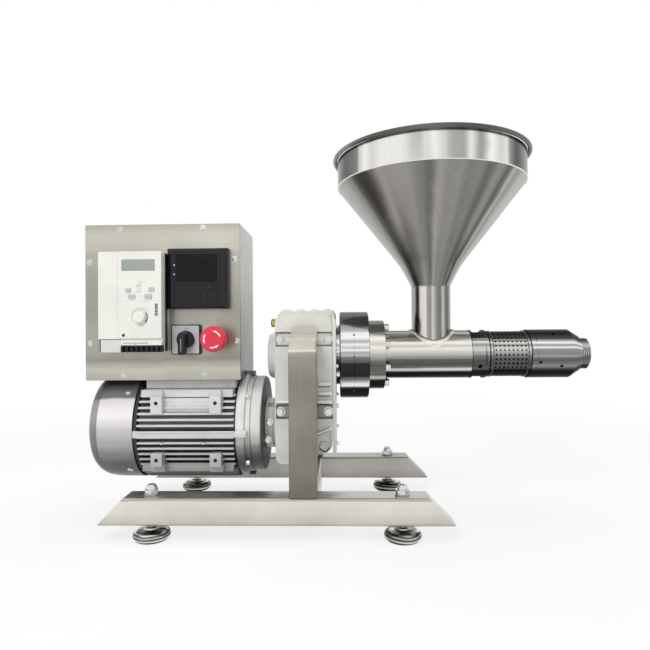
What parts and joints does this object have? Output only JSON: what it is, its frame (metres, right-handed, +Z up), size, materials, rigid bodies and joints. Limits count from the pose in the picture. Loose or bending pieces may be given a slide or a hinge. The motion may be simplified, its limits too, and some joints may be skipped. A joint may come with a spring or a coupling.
{
  "type": "screw oil press",
  "caption": "Screw oil press: a geared motor turns a pressing screw in a drilled cage, fed by a funnel hopper, with a control box on the motor and a tube frame on levelling feet.",
  "frame": {"origin": "on the floor, below the middle of the whole machine", "axes": "+X along the pressing screw towards the cake outlet, -Y towards the operator and the control panel, +Z up"},
  "size_m": [0.82, 0.328, 0.5965],
  "materials": {
    "brushed_steel": "satin brushed stainless steel",
    "polished_steel": "turned and polished stainless steel",
    "cast_paint": "warm light grey paint on a casting",
    "motor_paint": "silver grey paint",
    "gear_steel": "machined and oiled steel",
    "brass": "bare brass",
    "drive_plastic": "off-white moulded plastic",
    "grey_plastic": "grey moulded plastic",
    "black_plastic": "black moulded plastic",
    "red_plastic": "glossy red moulded plastic"
  },
  "bodies": {
    "machine": {"front_rail": "brushed_steel", "rear_rail": "brushed_steel", "cross_tube": "brushed_steel", "front_post": "brushed_steel", "rear_post": "brushed_steel", "dome_nut_front_left": "polished_steel", "dome_nut_front_right": "polished_steel", "dome_nut_rear_left": "polished_steel", "dome_nut_rear_right": "polished_steel", "gearbox_housing": "cast_paint", "gearbox_cover": "cast_paint", "output_bearing_rear": "polished_steel", "output_bearing_front": "polished_steel", "input_adapter": "cast_paint", "breather_plug": "brass", "main_flange": "polished_steel", "barrel_flange": "brushed_steel", "feed_barrel": "brushed_steel", "hopper": "polished_steel", "cage_collar": "polished_steel", "press_cage": "brushed_steel", "press_head": "polished_steel", "motor_body": "motor_paint", "drive_end_shield": "motor_paint", "rear_shield": "motor_paint", "fan_cover": "motor_paint", "box_pedestal": "motor_paint", "control_box": "brushed_steel", "front_panel": "brushed_steel", "drive_body": "drive_plastic", "drive_cover": "drive_plastic", "terminal_block": "black_plastic", "temperature_controller": "black_plastic", "selector_body": "black_plastic", "stop_collar": "black_plastic"},
    "rotor": {"motor_rotor": "gear_steel", "cooling_fan": "black_plastic", "drive_pinion": "gear_steel"},
    "middle_shaft": {"countershaft": "gear_steel", "counter_wheel": "gear_steel"},
    "screw": {"output_shaft": "gear_steel", "press_screw": "polished_steel"},
    "nozzle": {"nozzle": "polished_steel"},
    "stop_stem": {"stop_stem": "red_plastic"},
    "stop_button": {"stop_button": "red_plastic"},
    "selector_knob": {"selector_knob": "black_plastic"},
    "drive_dial": {"drive_dial": "drive_plastic"},
    "drive_key_up": {"drive_key_up": "grey_plastic"},
    "drive_key_down": {"drive_key_down": "grey_plastic"},
    "drive_key_local": {"drive_key_local": "grey_plastic"},
    "drive_key_menu": {"drive_key_menu": "grey_plastic"},
    "drive_key_stop": {"drive_key_stop": "grey_plastic"},
    "drive_key_start": {"drive_key_start": "grey_plastic"},
    "controller_key_set": {"controller_key_set": "black_plastic"},
    "controller_key_shift": {"controller_key_shift": "black_plastic"},
    "controller_key_raise": {"controller_key_raise": "black_plastic"},
    "foot_front_left": {"foot_front_left": "polished_steel"},
    "foot_front_right": {"foot_front_right": "polished_steel"},
    "foot_rear_left": {"foot_rear_left": "polished_steel"},
    "foot_rear_right": {"foot_rear_right": "polished_steel"}
  },
  "joints": [
    {"name": "motor_spin", "type": "hinge", "parent": "machine", "child": "rotor", "pos_m": [0, 0, 0.15], "axis": [1, 0, 0], "continuous": true},
    {"name": "middle_spin", "type": "hinge", "parent": "machine", "child": "middle_shaft", "pos_m": [0, 0.01346, 0.19815], "axis": [1, 0, 0], "continuous": true},
    {"name": "screw_spin", "type": "hinge", "parent": "machine", "child": "screw", "pos_m": [0, 0, 0.2643], "axis": [1, 0, 0], "continuous": true},
    {"name": "nozzle_turn", "type": "hinge", "parent": "machine", "child": "nozzle", "pos_m": [0.3946, 0, 0.2643], "axis": [1, 0, 0], "range_deg": [-180, 180]},
    {"name": "stop_press", "type": "slide", "parent": "machine", "child": "stop_stem", "axis": [0, 1, 0], "range_m": [0, 0.004], "stiffness_N_per_m": 1000},
    {"name": "stop_twist", "type": "hinge", "parent": "stop_stem", "child": "stop_button", "pos_m": [-0.1937, -0.1158, 0.2938], "axis": [0, 1, 0], "range_deg": [0, 45], "stiffness_Nm_per_rad": 0.3},
    {"name": "selector_turn", "type": "hinge", "parent": "machine", "child": "selector_knob", "pos_m": [-0.246, -0.07, 0.2929], "axis": [0, 1, 0], "range_deg": [-60, 60]},
    {"name": "dial_turn", "type": "hinge", "parent": "machine", "child": "drive_dial", "pos_m": [-0.308, -0.1005, 0.3281], "axis": [0, 1, 0], "range_deg": [-150, 150]},
    {"name": "press_up_key", "type": "slide", "parent": "machine", "child": "drive_key_up", "axis": [0, 1, 0], "range_m": [0, 0.0008], "stiffness_N_per_m": 1500},
    {"name": "press_down_key", "type": "slide", "parent": "machine", "child": "drive_key_down", "axis": [0, 1, 0], "range_m": [0, 0.0008], "stiffness_N_per_m": 1500},
    {"name": "press_local_key", "type": "slide", "parent": "machine", "child": "drive_key_local", "axis": [0, 1, 0], "range_m": [0, 0.0008], "stiffness_N_per_m": 1500},
    {"name": "press_menu_key", "type": "slide", "parent": "machine", "child": "drive_key_menu", "axis": [0, 1, 0], "range_m": [0, 0.0008], "stiffness_N_per_m": 1500},
    {"name": "press_stop_key", "type": "slide", "parent": "machine", "child": "drive_key_stop", "axis": [0, 1, 0], "range_m": [0, 0.0008], "stiffness_N_per_m": 1500},
    {"name": "press_start_key", "type": "slide", "parent": "machine", "child": "drive_key_start", "axis": [0, 1, 0], "range_m": [0, 0.0008], "stiffness_N_per_m": 1500},
    {"name": "press_set_key", "type": "slide", "parent": "machine", "child": "controller_key_set", "axis": [0, 1, 0], "range_m": [0, 0.0008], "stiffness_N_per_m": 1500},
    {"name": "press_shift_key", "type": "slide", "parent": "machine", "child": "controller_key_shift", "axis": [0, 1, 0], "range_m": [0, 0.0008], "stiffness_N_per_m": 1500},
    {"name": "press_raise_key", "type": "slide", "parent": "machine", "child": "controller_key_raise", "axis": [0, 1, 0], "range_m": [0, 0.0008], "stiffness_N_per_m": 1500},
    {"name": "level_front_left", "type": "slide", "parent": "machine", "child": "foot_front_left", "axis": [0, 0, 1], "range_m": [-0.006, 0]},
    {"name": "level_front_right", "type": "slide", "parent": "machine", "child": "foot_front_right", "axis": [0, 0, 1], "range_m": [-0.006, 0]},
    {"name": "level_rear_left", "type": "slide", "parent": "machine", "child": "foot_rear_left", "axis": [0, 0, 1], "range_m": [-0.006, 0]},
    {"name": "level_rear_right", "type": "slide", "parent": "machine", "child": "foot_rear_right", "axis": [0, 0, 1], "range_m": [-0.006, 0]}
  ],
  "couplings": [
    {"joint": "middle_spin", "follows": "motor_spin", "ratio": -0.42857},
    {"joint": "screw_spin", "follows": "motor_spin", "ratio": 0.12245}
  ]
}
